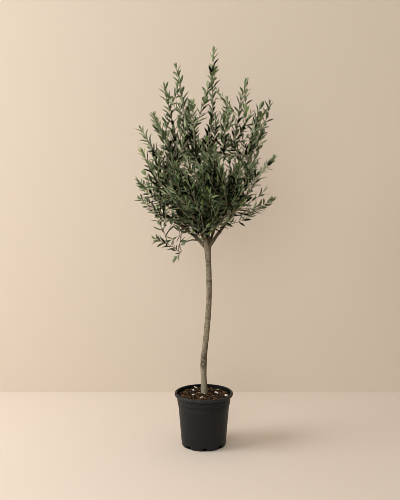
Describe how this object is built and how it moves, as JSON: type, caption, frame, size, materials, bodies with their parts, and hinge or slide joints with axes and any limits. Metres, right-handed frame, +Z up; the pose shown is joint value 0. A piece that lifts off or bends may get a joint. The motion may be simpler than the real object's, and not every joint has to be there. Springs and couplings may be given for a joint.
{
  "type": "potted olive tree",
  "caption": "Young olive grown as a standard, with one clear stem, a vase-shaped crown of upright leafy plumes and a round nursery pot.",
  "frame": {"origin": "centre of the flat underside of the pot, on the surface it stands on", "axes": "+Z up the stem, +X to the tree's right, -Y to its front"},
  "size_m": [0.6084, 0.5239, 1.7035],
  "materials": {
    "pot_plastic": "satin",
    "potting_mix": "matte",
    "bark": "matte",
    "young_bark": "matte",
    "foliage": "matte"
  },
  "bodies": {
    "root": {"bough_back": "young_bark", "bough_back_left": "young_bark", "bough_back_right": "young_bark", "bough_centre": "young_bark", "bough_front": "young_bark", "bough_front_left": "young_bark", "bough_hanging": "young_bark", "bough_left": "young_bark", "bough_right": "young_bark", "mass_back_high_left": "foliage", "mass_back_high_right": "foliage", "mass_back_left": "foliage", "mass_back_low": "foliage", "mass_back_middle": "foliage", "mass_back_right": "foliage", "mass_core": "foliage", "mass_curved_right": "foliage", "mass_far_left_spire": "foliage", "mass_front_high_left": "foliage", "mass_front_high_right": "foliage", "mass_front_left": "foliage", "mass_front_low": "foliage", "mass_front_middle": "foliage", "mass_front_right": "foliage", "mass_hanging": "foliage", "mass_inner_left": "foliage", "mass_inner_right": "foliage", "mass_leader": "foliage", "mass_left_low": "foliage", "mass_left_middle": "foliage", "mass_left_shoulder": "foliage", "mass_left_side": "foliage", "mass_left_spire": "foliage", "mass_low_right": "foliage", "mass_outer_right": "foliage", "mass_right_middle": "foliage", "mass_right_side": "foliage", "mass_right_spire": "foliage", "mass_upper_left": "foliage", "pot": "pot_plastic", "soil": "potting_mix", "trunk": "bark"}
  },
  "joints": []
}
